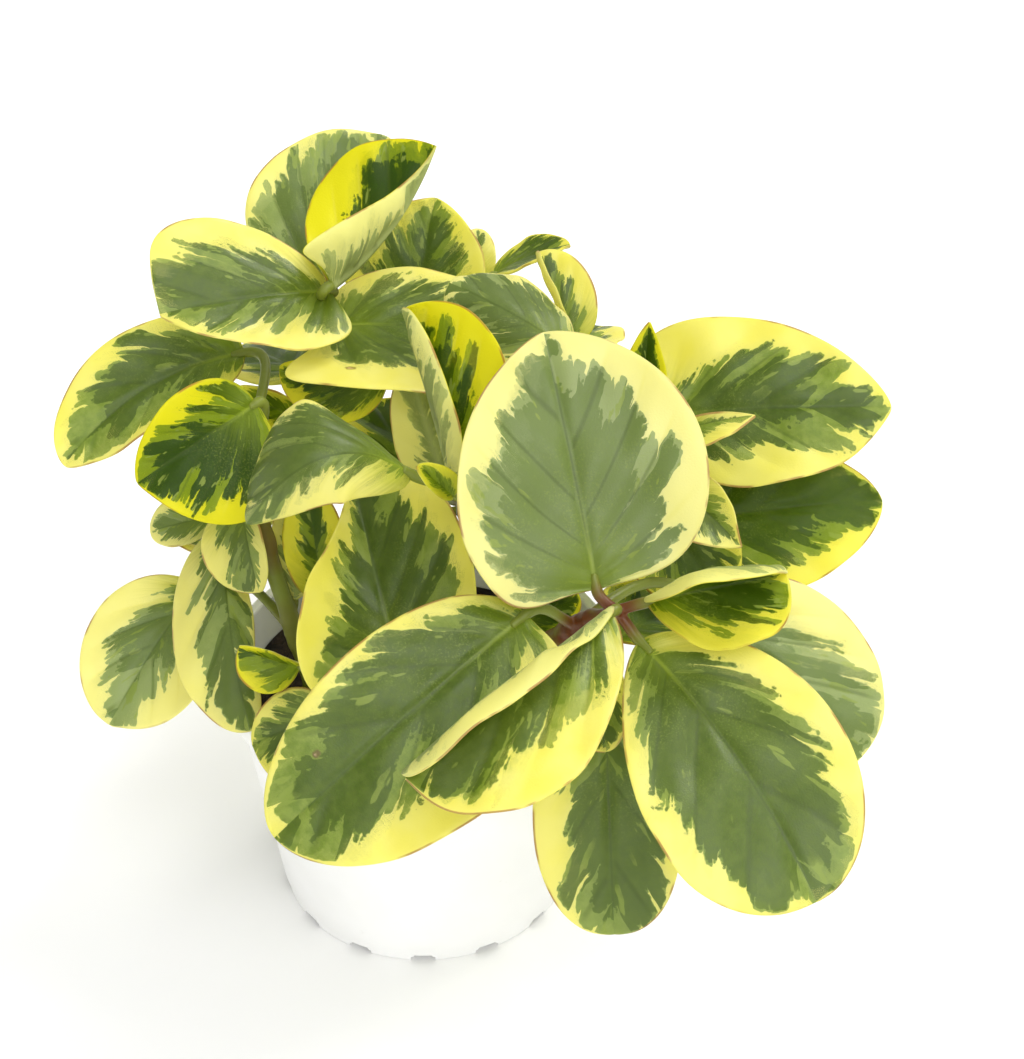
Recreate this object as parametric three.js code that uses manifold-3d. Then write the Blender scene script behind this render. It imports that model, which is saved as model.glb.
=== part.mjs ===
// A variegated peperomia in a plain round plant pot, in millimetres, +Z up.
// The origin is the middle of the pot's flat underside, and the plant's front faces -Y.
// The pot, its filling of soil and each of the seven leafy stems are separate closed solids.
// Every stem stands in a plain hole in the soil, with its leaf stalks and leaves grown onto it.

import * as THREE from 'three';
import { mergeVertices } from 'three/addons/utils/BufferGeometryUtils.js';
import Module from 'manifold-3d';

const wasm = await Module();
wasm.setup();

// ---- driving dimensions -------------------------------------------------------------------

const POT_HEIGHT = 89.5;
const POT_BASE_RADIUS = 48;
const POT_RIM_RADIUS = 61.2;
const POT_WALL = 1.6;
const POT_FLOOR = 2.2;
const LIP_OUT = 2.3;
const LIP_HEIGHT = 8;
const POT_SIDES = 42;

const SLOT_COUNT = 14;
const SLOT_WIDTH = 8;
const SLOT_HEIGHT = 3;
const SLOT_DEPTH = 7;

const GAP = 0.3;
const SOIL_TOP = 76;
const SOIL_CROWN = 3;
const HOLE_DEPTH = 26;
const HOLE_CLEARANCE = 0.5;

const BLADE_THICKNESS = 1.2;
const SMALL_BLADE_LENGTH = 50;
const LARGE_GRID = [8, 3];
const SMALL_GRID = [6, 2];
const STALK_RADIUS = 1.8;
const STALK_REACH = 0.07;
const STEM_SIDES = 8;
const STALK_SIDES = 5;

// ---- the plant ----------------------------------------------------------------------------

// One half of a blade: how far it reaches from the midrib, the angle at which it leaves the
// blade's plane, how much more it curls by the margin (degrees), how far its shoulder reaches
// back past the leaf base (as a part of the length), and the roundness of its base and tip.
function half(reach, fold = 4, curl = 12, lobe = 0, base = 0.5, tip = 0.55) {
  return { reach, fold, curl, lobe, base, tip };
}

// One leaf: the place of its base and tip, the way its upper side faces, its left and right
// halves as seen from above with the tip ahead, and where on the stem (0 to 1) its stalk starts.
// arch lifts the midrib and sway bends it sideways, both as parts of the length.
function leaf(name, at, base, tip, face, left, right, more = {}) {
  return { name, at, base, tip, face, left, right, arch: 0.05, sway: 0, ...more };
}

const SHOOTS = [
  {
    name: 'shoot_front',
    radius: 3.2,
    stem: [[20, -22], [30, -32, 108], [44, -46, 135], [59, -63, 157]],
    leaves: [
      leaf('centre', 1, [53, -57, 160], [38, -6, 214], [1, -6, 8],
        half(36, 4, 14, 0.12, 0.45, 0.75), half(38, 4, 14, 0.06, 0.5, 0.62), { arch: 0.03 }),
      leaf('front_right', 0.97, [65, -68, 150], [111, -133, 112], [2, -7, 6],
        half(29, 4, 12, 0, 0.68, 0.55), half(33, 4, 12, 0, 0.72, 0.42), { arch: 0.06, sway: -0.03 }),
      leaf('front_left', 0.76, [33, -62, 155], [-37, -108, 112], [-1, -7, 7],
        half(34.5, 2, 8, 0.1, 0.5, 0.55), half(24, 2, 8, 0, 0.5, 0.55), { arch: 0.06 }),
      leaf('front_folded', 1, [57, -70, 162], [0, -118, 144], [1, -6, 7],
        half(31, 8, 26, 0, 0.8, 0.5), half(19, 60, 85, 0, 0.7, 0.34)),
      leaf('front_hanging', 0.7, [56, -63, 128], [59, -100, 66], [-1, -9, 4],
        half(21, 4, 10, 0, 0.5, 0.45), half(22, 4, 10, 0, 0.5, 0.45), { arch: 0.04 }),
      leaf('right_folded', 0.98, [67, -63, 160], [106, -60, 168], [1, -6, 7],
        half(24, 60, 75, 0, 0.5, 0.5), half(22, 10, 30, 0, 0.7, 0.45)),
      leaf('right_low', 0.8, [85, -28, 134], [134, -56, 96], [3, -6, 6],
        half(27, 4, 8, 0, 0.5, 0.5), half(24, 4, 8)),
      leaf('front_small', 0.85, [51, -60, 140], [56, -81, 120], [0, -8, 5],
        half(9, 6, 20), half(12, 6, 20)),
      leaf('front_inner', 0.6, [60, -40, 128], [82, -4, 112], [1, -2, 8],
        half(16), half(15)),
    ],
  },
  {
    name: 'shoot_right',
    radius: 3,
    stem: [[28, 4], [42, 4, 108], [60, 6, 138], [70, 4, 166]],
    leaves: [
      leaf('right_high', 0.95, [74, 32, 160], [146, 22, 170], [1, -6, 8],
        half(30, 3, 10, 0.12, 0.35, 0.72), half(27, 3, 10, 0, 0.55, 0.72)),
      leaf('right_mid', 0.7, [77, 10, 134], [145, 15, 140], [1, -6, 8],
        half(23, 3, 10, 0, 0.5, 0.75), half(27, 3, 10, 0, 0.5, 0.65)),
      leaf('right_spear', 1, [68, 4, 170], [70, 18, 203], [-2, -8, 2],
        half(8, 20, 20, 0, 0.6, 0.9), half(9, 20, 20, 0, 0.6, 0.9)),
      leaf('right_thin', 1, [76, -3, 177], [101, -4, 184], [0, -4, 8],
        half(3, 10, 30, 0, 0.6, 1), half(11, 10, 30, 0, 0.6, 1)),
      leaf('right_young', 0.9, [78, -8, 162], [97, -26, 152], [1, -7, 7],
        half(9, 25, 30, 0, 0.5, 1), half(14, 10, 20, 0, 0.5, 0.9)),
      leaf('right_shaded', 0.8, [73, 7, 144], [93, -16, 124], [2, -7, 6],
        half(16), half(20)),
      leaf('right_back', 0.55, [84, 18, 126], [124, 58, 108], [2, 3, 8],
        half(23), half(23)),
      leaf('right_back_low', 0.4, [60, 26, 110], [74, 82, 94], [1, 3, 8],
        half(21), half(21)),
    ],
  },
  {
    name: 'shoot_back',
    radius: 3,
    stem: [[10, 18], [16, 38, 116], [26, 50, 150], [38, 44, 178]],
    leaves: [
      leaf('top_middle', 0.8, [-4, 83, 164], [4, 102, 200], [-1, -7, 6],
        half(26, 4, 16, 0, 0.5, 0.75), half(23, 4, 16, 0, 0.5, 0.75)),
      leaf('behind_centre', 1, [47, 16, 194], [10, 39, 204], [1, -4, 9],
        half(18, -25, -16, 0, 0.5, 0.5), half(19, -15, -15, 0, 0.5, 0.32)),
      leaf('back_upright', 0.97, [48, 42, 180], [37, 62, 202], [3, -6, 6],
        half(12, 50, 40), half(12, 15, 20, 0, 0.5, 0.5)),
      leaf('back_flat', 0.9, [23, 86, 180], [48, 88, 190], [0, 2, 9],
        half(14, 4, 10), half(18, 4, 10, 0, 0.5, 0.7)),
      leaf('back_tiny', 0.85, [15, 103, 164], [18, 114, 182], [0, -7, 6],
        half(7), half(7)),
      leaf('rear_right', 0.75, [34, 66, 152], [52, 124, 138], [1, 4, 8],
        half(24), half(24)),
      leaf('rear_middle', 0.6, [4, 68, 146], [-16, 126, 124], [-1, 4, 8],
        half(22), half(23)),
      leaf('rear_low', 0.35, [2, 46, 114], [-20, 106, 118], [0, 3, 8],
        half(22), half(22)),
    ],
  },
  {
    name: 'shoot_upper',
    radius: 3,
    stem: [[-12, 14], [-20, 30, 120], [-28, 45, 160], [-31, 51, 194]],
    leaves: [
      leaf('upper_left', 1, [-27, 45, 198], [-77, 24, 202], [0, -5, 8],
        half(21, 4, 12, 0.07, 0.3, 0.7), half(28, 4, 12, 0, 0.66, 0.26)),
      leaf('upper_back', 0.9, [-37, 73, 184], [-12, 118, 214], [-2, -7, 6],
        half(31, 3, 8, 0, 0.42, 0.6), half(12, 3, 8)),
      leaf('upper_folded', 1, [-26, 35, 206], [5, 80, 230], [-3, -4, 6],
        half(28, 8, 14, 0, 0.62, 0.45), half(19, 62, 60, 0.12, 0.25, 1.4), { arch: -0.1 }),
      leaf('middle_wide', 0.87, [-26, 48, 184], [32, 45, 178], [0, -1, 9],
        half(25, 4, 10, 0.15, 0.42, 0.5), half(40, 4, 10, 0.26, 0.3, 0.5)),
      leaf('rear_left', 0.68, [-38, 62, 156], [-66, 112, 136], [-3, 3, 8],
        half(24), half(22)),
      leaf('rear_left_low', 0.5, [-42, 50, 136], [-84, 74, 116], [-3, 2, 8],
        half(21), half(22)),
      leaf('middle_shaded', 0.75, [-10, 40, 169], [-44, 40, 173], [0, -9, 2],
        half(15), half(6)),
    ],
  },
  {
    name: 'shoot_middle',
    radius: 3,
    stem: [[6, -2], [12, -6, 110], [16, -10, 145], [14, -19, 170]],
    leaves: [
      leaf('middle_folded', 1, [12, -14, 168], [-3, 14, 210], [2, -7, 6],
        half(13, 60, 90, 0, 0.5, 0.6), half(25, 20, 30, 0, 0.5, 0.45)),
      leaf('middle_arched', 0.97, [0, -23, 176], [-47, -39, 170], [0, -4, 9],
        half(14, -40, -10, 0, 0.5, 0.6), half(25, -5, -20, 0, 0.6, 0.4), { arch: 0.46 }),
      leaf('middle_young', 1, [12, -31, 174], [2, -33, 186], [-2, -7, 6],
        half(4, 40, 30), half(6, 10, 20)),
      leaf('middle_underside', 0.8, [9, 2, 152], [-2, 32, 178], [-2, 8, 3],
        half(12), half(12)),
      leaf('middle_low', 0.4, [24, -22, 120], [50, -19, 127], [0, -6, 7],
        half(11), half(9)),
    ],
  },
  {
    name: 'shoot_left',
    radius: 3,
    stem: [[-36, -1], [-42, 2, 105], [-49, 8, 135], [-50, 14, 165]],
    leaves: [
      leaf('left_dark', 1, [-48, 9, 180], [-83, -10, 164], [-2, -8, 3],
        half(29, 6, 14, 0, 0.5, 0.7), half(16, 6, 14, 0, 0.5, 0.75)),
      leaf('left_hanging', 0.62, [-63, 21, 126], [-51, -42, 94], [-3, -8, 3],
        half(9, -60, -20, 0, 0.5, 0.5), half(21, 0, 10)),
      leaf('left_small', 0.8, [-55, 9, 144], [-49, -9, 122], [-3, -8, 4],
        half(6), half(15)),
      leaf('left_low', 0.25, [-74, 29, 96], [-101, -9, 68], [-2, -6, 8],
        half(24), half(23)),
      leaf('left_pale', 0.6, [-68, 40, 116], [-90, 39, 110], [-1, -6, 8],
        half(8), half(9)),
      leaf('left_pointed', 0.9, [-40, 44, 152], [-60, 45, 160], [0, -5, 8],
        half(11, 10, 20), half(10, 50, 60)),
      leaf('far_left', 0.97, [-56, 51, 172], [-112, 25, 146], [-1, -6, 8],
        half(15, 2, 10, 0, 0.5, 0.62), half(20, 2, 10, 0, 0.5, 0.62), { sway: 0.09 }),
      leaf('left_rear', 0.2, [-54, 30, 112], [-80, 68, 92], [-3, 2, 8],
        half(20), half(21)),
      leaf('left_upright', 0.3, [-40, 6, 108], [-42, 15, 140], [0, 8, 3],
        half(9), half(6)),
    ],
  },
  {
    name: 'shoot_low',
    radius: 2.6,
    stem: [[-14, -26], [-15, -36, 92], [-12, -44, 106], [-8, -49, 117]],
    leaves: [
      leaf('middle_cupped', 1, [-5, -43, 122], [-20, 7, 158], [0, -8, 5],
        half(33, 15, 45, 0.1, 0.36, 1.7), half(31, 8, 20, 0.15, 0.42, 0.6)),
      leaf('low_left', 0.8, [-25, -46, 106], [-50, -46, 92], [-1, -7, 6],
        half(19), half(11, 4, 12, 0, 0.5, 0.7)),
      leaf('low_young', 0.6, [-35, -38, 116], [-53, -36, 122], [0, -8, 5],
        half(11, 10, 20, 0, 0.5, 0.5), half(4, 50, 20)),
      leaf('low_upright', 0.5, [-30, 0, 112], [-35, 15, 144], [0, -8, 4],
        half(10), half(10)),
    ],
  },
];

// ---- materials ----------------------------------------------------------------------------

const potMaterial = new THREE.MeshStandardMaterial({ color: 0xf4f4f1, roughness: 0.45 });
const soilMaterial = new THREE.MeshStandardMaterial({ color: 0x2b211b, roughness: 1 });
const leafMaterial = new THREE.MeshStandardMaterial({ color: 0xa3b45a, roughness: 0.35 });

// ---- solids and their joining -------------------------------------------------------------

function toSolid(geometry) {
  const plain = geometry.clone();
  plain.deleteAttribute('normal');
  plain.deleteAttribute('uv');
  const merged = mergeVertices(plain, 1e-4);
  const vertProperties = new Float32Array(merged.attributes.position.array);
  const triVerts = new Uint32Array(merged.index.array);
  return new wasm.Manifold(new wasm.Mesh({ numProp: 3, vertProperties, triVerts }));
}

function toMesh(solid, name, material) {
  const { vertProperties, triVerts } = solid.getMesh();
  const geometry = new THREE.BufferGeometry();
  geometry.setAttribute('position', new THREE.BufferAttribute(vertProperties, 3));
  geometry.setIndex(new THREE.BufferAttribute(triVerts, 1));
  geometry.computeVertexNormals();
  const mesh = new THREE.Mesh(geometry, material);
  mesh.name = name;
  return mesh;
}

function join(solids) {
  return solids.reduce((whole, piece) => whole.add(piece));
}

// A lathe profile of [radius, height] pairs turned about the Z axis.
function turned(profile, sides) {
  const points = profile.map(([radius, height]) => new THREE.Vector2(radius, height));
  const geometry = new THREE.LatheGeometry(points, sides);
  geometry.rotateX(Math.PI / 2);
  return toSolid(geometry);
}

// A round rod of a few sides along a smooth curve through the given points.
function rod(points, radius, sides, steps) {
  const shape = new THREE.Shape();
  for (let i = 0; i < sides; i += 1) {
    const angle = (2 * Math.PI * i) / sides;
    const place = [radius * Math.cos(angle), radius * Math.sin(angle)];
    if (i === 0) shape.moveTo(...place);
    else shape.lineTo(...place);
  }
  shape.closePath();
  const extrudePath = new THREE.CatmullRomCurve3(points);
  return toSolid(new THREE.ExtrudeGeometry(shape, { steps, extrudePath, curveSegments: 1 }));
}

// ---- leaves -------------------------------------------------------------------------------

const radians = THREE.MathUtils.degToRad;

// How wide a half is at a part s of the length, from 0 at the base and tip to 1 at its widest.
function outline(side, s) {
  if (s <= 0 || s >= 1) return 0;
  const widest = side.base / (side.base + side.tip);
  const height = widest ** side.base * (1 - widest) ** side.tip;
  return (s ** side.base * (1 - s) ** side.tip) / height;
}

// The blade's own directions: along the midrib, across it to the right, and up out of it.
function bladeFrame({ base, tip, face }) {
  const root = new THREE.Vector3(...base);
  const along = new THREE.Vector3(...tip).sub(root);
  const length = along.length();
  along.normalize();
  const up = new THREE.Vector3(...face);
  up.addScaledVector(along, -up.dot(along)).normalize();
  const across = new THREE.Vector3().crossVectors(along, up);
  return { root, along, across, up, length };
}

function midribPoint(blade, frame, s) {
  const bow = 4 * frame.length * s * (1 - s);
  return frame.root.clone()
    .addScaledVector(frame.along, frame.length * s)
    .addScaledVector(frame.up, bow * blade.arch)
    .addScaledVector(frame.across, bow * blade.sway);
}

function midribDirection(blade, frame, s) {
  const slope = 4 * (1 - 2 * s);
  return frame.along.clone()
    .addScaledVector(frame.up, slope * blade.arch)
    .addScaledVector(frame.across, slope * blade.sway)
    .normalize();
}

// The middle surface of the blade at a part s of its length, and v from -1 at the left margin
// to 1 at the right margin. Each half is an arc that leaves the midrib at its fold angle.
function bladePoint(blade, frame, s, v) {
  const side = v < 0 ? blade.left : blade.right;
  const wide = outline(side, s);
  const forward = midribDirection(blade, frame, s);
  const lift = frame.up.clone().addScaledVector(forward, -frame.up.dot(forward)).normalize();
  const across = new THREE.Vector3().crossVectors(forward, lift);
  const fold = radians(side.fold);
  const curl = radians(side.curl);
  const t = Math.abs(v);
  const reach = (side.reach * wide) / curl;
  const out = Math.sign(v) * reach * (Math.sin(fold + curl * t) - Math.sin(fold));
  const rise = reach * (Math.cos(fold) - Math.cos(fold + curl * t));
  const back = 2.5 * side.lobe * wide ** 2 * (1 - s) ** 4 * v * v;
  return midribPoint(blade, frame, s - back)
    .addScaledVector(across, out)
    .addScaledVector(lift, rise);
}

function bladeNormal(blade, frame, s, v) {
  const step = 0.02;
  const inner = THREE.MathUtils.clamp(s, 2 * step, 1 - 2 * step);
  const flat = THREE.MathUtils.clamp(v, step - 1, 1 - step);
  const along = bladePoint(blade, frame, inner + step, flat)
    .sub(bladePoint(blade, frame, inner - step, flat));
  const across = bladePoint(blade, frame, inner, flat + step)
    .sub(bladePoint(blade, frame, inner, flat - step));
  return along.cross(across).normalize();
}

// A blade of even thickness: its upper and lower faces are split into triangles alike, and a
// narrow band closes them all round the margin.
function bladeSolid(blade, frame) {
  const [rows, columns] = frame.length < SMALL_BLADE_LENGTH ? SMALL_GRID : LARGE_GRID;
  const positions = [];
  const indices = [];
  const pick = [];
  for (let i = 0; i <= rows; i += 1) {
    const s = (1 - Math.cos((Math.PI * i) / rows)) / 2;
    const single = i === 0 || i === rows;
    pick.push([]);
    for (let j = -columns; j <= columns; j += 1) {
      if (!single || j === -columns) {
        const v = single ? 0 : j / columns;
        const middle = bladePoint(blade, frame, s, v);
        const normal = bladeNormal(blade, frame, s, v);
        for (const way of [0.5, -0.5]) {
          const point = middle.clone().addScaledVector(normal, way * BLADE_THICKNESS);
          positions.push(point.x, point.y, point.z);
        }
      }
      pick[i].push(positions.length / 3 - 2);
    }
  }
  function bothFaces(a, b, c) {
    if (a === b || b === c || a === c) return;
    indices.push(a, c, b, a + 1, b + 1, c + 1);
  }
  for (let i = 0; i < rows; i += 1) {
    for (let j = 0; j < 2 * columns; j += 1) {
      bothFaces(pick[i][j], pick[i + 1][j + 1], pick[i + 1][j]);
      bothFaces(pick[i][j], pick[i][j + 1], pick[i + 1][j + 1]);
    }
  }
  const margin = [];
  for (let i = 0; i <= rows; i += 1) margin.push(pick[i][0]);
  for (let i = rows - 1; i > 0; i -= 1) margin.push(pick[i][2 * columns]);
  margin.forEach((a, k) => {
    const b = margin[(k + 1) % margin.length];
    indices.push(a, b + 1, b, a, a + 1, b + 1);
  });
  const geometry = new THREE.BufferGeometry();
  geometry.setAttribute('position', new THREE.Float32BufferAttribute(positions, 3));
  geometry.setIndex(indices);
  return toSolid(geometry);
}

// The stalk leaves the stem outward and slightly up, and runs on a little way under the midrib.
function stalkSolid(blade, frame, start) {
  const reach = start.distanceTo(frame.root);
  const outward = frame.root.clone().sub(start).setZ(0).normalize();
  outward.z = 0.6;
  outward.normalize();
  const entry = midribDirection(blade, frame, 0);
  const bend = new THREE.CubicBezierCurve3(
    start,
    start.clone().addScaledVector(outward, 0.35 * reach),
    frame.root.clone().addScaledVector(entry, -0.35 * reach),
    frame.root,
  );
  const points = bend.getPoints(3);
  points.push(midribPoint(blade, frame, STALK_REACH));
  return rod(points, STALK_RADIUS, STALK_SIDES, 4);
}

// ---- stems --------------------------------------------------------------------------------

function footPlace([x, y]) {
  return { x, y, top: SOIL_TOP + SOIL_CROWN + 3.5, bottom: SOIL_TOP - HOLE_DEPTH + GAP };
}

function shootSolid(shoot) {
  const foot = footPlace(shoot.stem[0]);
  const height = foot.top - foot.bottom;
  const peg = new THREE.CylinderGeometry(shoot.radius, shoot.radius, height, STEM_SIDES);
  peg.rotateX(Math.PI / 2);
  peg.translate(foot.x, foot.y, (foot.top + foot.bottom) / 2);

  const [, ...higher] = shoot.stem;
  const points = [new THREE.Vector3(foot.x, foot.y, foot.top - 1.5)];
  for (const place of higher) points.push(new THREE.Vector3(...place));
  const curve = new THREE.CatmullRomCurve3(points);
  const solids = [toSolid(peg), rod(points, shoot.radius, STEM_SIDES, 7)];

  for (const blade of shoot.leaves) {
    const frame = bladeFrame(blade);
    solids.push(bladeSolid(blade, frame));
    solids.push(stalkSolid(blade, frame, curve.getPoint(Math.min(blade.at, 0.985))));
  }
  return join(solids);
}

// ---- pot and soil -------------------------------------------------------------------------

// The outer radius of the pot's wall at a height z.
function wallRadius(z) {
  return POT_BASE_RADIUS + ((POT_RIM_RADIUS - POT_BASE_RADIUS) * z) / POT_HEIGHT;
}

// A round wall that widens upward to a rolled lip, with slots all round the bottom edge, one
// of them at the front.
function potSolid() {
  const lipFoot = POT_HEIGHT - LIP_HEIGHT;
  const lipRadius = POT_RIM_RADIUS + LIP_OUT;
  const body = turned([
    [0, 0],
    [POT_BASE_RADIUS - 1, 0],
    [wallRadius(1), 1],
    [wallRadius(lipFoot), lipFoot],
    [lipRadius - 0.8, lipFoot + 0.6],
    [lipRadius, lipFoot + 2],
    [lipRadius, POT_HEIGHT - 1.6],
    [lipRadius - 1, POT_HEIGHT],
    [POT_RIM_RADIUS - POT_WALL + 0.6, POT_HEIGHT],
    [POT_RIM_RADIUS - POT_WALL, POT_HEIGHT - 1],
    [wallRadius(POT_FLOOR) - POT_WALL, POT_FLOOR],
    [0, POT_FLOOR],
  ], POT_SIDES);
  const slots = [];
  for (let i = 0; i < SLOT_COUNT; i += 1) {
    const slot = new THREE.BoxGeometry(SLOT_DEPTH, SLOT_WIDTH, 2 * SLOT_HEIGHT);
    slot.translate(POT_BASE_RADIUS, 0, 0);
    slot.rotateZ((2 * Math.PI * i) / SLOT_COUNT - Math.PI / 2);
    slots.push(toSolid(slot));
  }
  return slots.reduce((whole, slot) => whole.subtract(slot), body);
}

// Soil fills the pot to just below the lip, slightly domed, with a plain hole for each stem.
function soilSolid() {
  const floor = POT_FLOOR + GAP;
  const inner = (z) => wallRadius(z) - POT_WALL - GAP;
  const filling = turned([
    [0, floor],
    [inner(floor) - 3, floor],
    [inner(floor + 3), floor + 3],
    [inner(SOIL_TOP), SOIL_TOP],
    [inner(SOIL_TOP) * 0.66, SOIL_TOP + SOIL_CROWN * 0.7],
    [inner(SOIL_TOP) * 0.33, SOIL_TOP + SOIL_CROWN],
    [0, SOIL_TOP + SOIL_CROWN],
  ], POT_SIDES);
  const holes = SHOOTS.map((shoot) => {
    const { x, y } = footPlace(shoot.stem[0]);
    const radius = shoot.radius + HOLE_CLEARANCE;
    const hole = new THREE.CylinderGeometry(radius, radius, 2 * HOLE_DEPTH, 8);
    hole.rotateX(Math.PI / 2);
    hole.translate(x, y, SOIL_TOP);
    return toSolid(hole);
  });
  return holes.reduce((whole, hole) => whole.subtract(hole), filling);
}

// ---- the whole object ---------------------------------------------------------------------

const plant = new THREE.Group();
plant.add(toMesh(potSolid(), 'pot', potMaterial));
plant.add(toMesh(soilSolid(), 'soil', soilMaterial));
for (const shoot of SHOOTS) plant.add(toMesh(shootSolid(shoot), shoot.name, leafMaterial));

export default plant;
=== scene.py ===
import math
import random

import bmesh
import bpy
import numpy as np
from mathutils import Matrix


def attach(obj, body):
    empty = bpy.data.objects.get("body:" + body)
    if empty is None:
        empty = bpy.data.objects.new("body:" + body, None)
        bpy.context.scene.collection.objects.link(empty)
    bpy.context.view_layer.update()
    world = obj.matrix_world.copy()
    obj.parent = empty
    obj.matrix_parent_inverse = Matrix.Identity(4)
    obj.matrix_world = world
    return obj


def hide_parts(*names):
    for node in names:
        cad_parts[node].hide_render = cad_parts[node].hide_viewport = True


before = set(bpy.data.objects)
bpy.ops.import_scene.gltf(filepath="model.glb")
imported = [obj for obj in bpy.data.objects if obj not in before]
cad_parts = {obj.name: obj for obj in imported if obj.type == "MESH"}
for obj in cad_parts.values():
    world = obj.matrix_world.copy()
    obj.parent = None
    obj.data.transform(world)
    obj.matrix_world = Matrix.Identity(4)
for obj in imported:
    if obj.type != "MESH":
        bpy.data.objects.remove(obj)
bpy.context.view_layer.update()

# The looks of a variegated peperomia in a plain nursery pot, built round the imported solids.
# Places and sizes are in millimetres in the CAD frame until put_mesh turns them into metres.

MM = 0.001

# ---- sizes, as in the CAD ------------------------------------------------------------------

POT_HEIGHT = 89.5
POT_BASE_RADIUS = 48.0
POT_RIM_RADIUS = 61.2
POT_WALL = 1.6
POT_FLOOR = 2.2
LIP_OUT = 2.3
LIP_HEIGHT = 8.0
SLOT_COUNT = 14
SLOT_WIDTH = 8.0
SLOT_HEIGHT = 3.0
SLOT_DEPTH = 7.0
SOIL_TOP = 76.0
SOIL_CROWN = 3.0
HOLE_DEPTH = 26.0

BLADE_THICKNESS = 1.15
EDGE_ROUNDING = 0.3
LOBE_SIZE = 2.5
STALK_RADIUS = 1.8
STEM_PLAY = 0.15

# Blades longer than this get the finer of two grids: rows, and columns in each half.
LARGE_LEAF = 50.0
LARGE_GRID = (84, 26)
SMALL_GRID = (52, 17)
NO_BLEMISH = 99.0      # what a point far from any blemish holds, in mm

STEM_SIDES = 16
STALK_SIDES = 12
STEM_VOXEL = 0.5
POT_SIDES = 192
SOIL_SIDES = 150
SOIL_RINGS = 46
SOIL_GAP = 0.35
CRUMB_COUNT = 700

# Where along a blade the widths of its green centre are given, from base to tip.
GREEN_AT = (0.05, 0.25, 0.5, 0.75, 0.95)

# The fan of side veins, in a leaf of even length: its size in mm, how soon the veins steepen
# from the base, how steep they get, how many there are, and every how many one is a main vein.
FAN_LENGTH = 70.0
FAN_ROOT = 7.0
FAN_SLOPE = 1.6
FAN_COUNT = 4.5
VEIN_STEP = 2.7


def half(reach, fold=4, curl=12, lobe=0, base=0.5, tip=0.55):
    """One half of a blade, as in the CAD: reach in mm, fold and curl in degrees."""
    return {"reach": reach, "fold": math.radians(fold), "curl": math.radians(curl),
            "lobe": lobe, "base": base, "tip": tip}


def leaf(name, at, base, tip, face, left, right, green, arch=0.05, sway=0.0, spot=None,
         age_and_light=0.0):
    """One leaf. green holds the left and right widths of its green centre, as parts of the
    half blade at each place of GREEN_AT. spot is a blemish's (across, along) in mm. The last
    argument runs from -1 for an older dusty grey-green leaf, its pale tint partly painted sheen,
    to 1 for a younger one, deep green and clear yellow, its tint partly painted shade."""
    return {"name": name, "at": at, "base": base, "tip": tip, "face": face, "left": left,
            "right": right, "green": green, "arch": arch, "sway": sway, "spot": spot,
            "age_and_light": age_and_light}


def even(width):
    return ((width,) * 5, (width,) * 5)


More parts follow.
